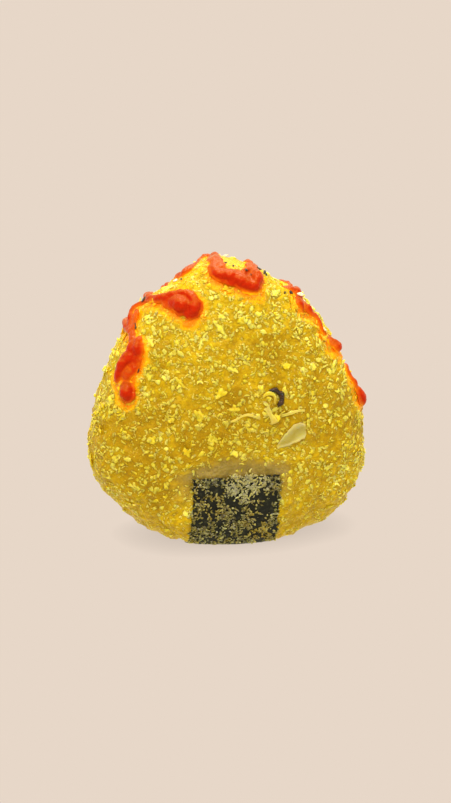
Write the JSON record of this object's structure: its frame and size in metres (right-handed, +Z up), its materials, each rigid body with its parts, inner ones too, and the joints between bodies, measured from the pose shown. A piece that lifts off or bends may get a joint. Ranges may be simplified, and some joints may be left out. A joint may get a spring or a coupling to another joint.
{
  "type": "fried rice ball",
  "caption": "Standing deep-fried rice ball in a coarse bread-crumb crust, with a crumbed seaweed strip round its base and red sauce drizzled over the ridge.",
  "frame": {"origin": "on the table, under the middle of the ball's width and depth", "axes": "+X to the viewer's right across the ball's width, -Y out of the front face with the seaweed strip, +Z up"},
  "size_m": [0.0872, 0.0419, 0.0867],
  "materials": {
    "crumb_crust": "golden-yellow fried bread crumbs, pale and glossy with oil at the crumbs' tips, golden brown between them, with glossy red sauce over the ridge",
    "seaweed": "black-green dried seaweed with a thin batter and cream crumbs stuck to it"
  },
  "bodies": {
    "root": {"rice_ball": "crumb_crust", "seaweed_strip": "seaweed"}
  },
  "joints": []
}
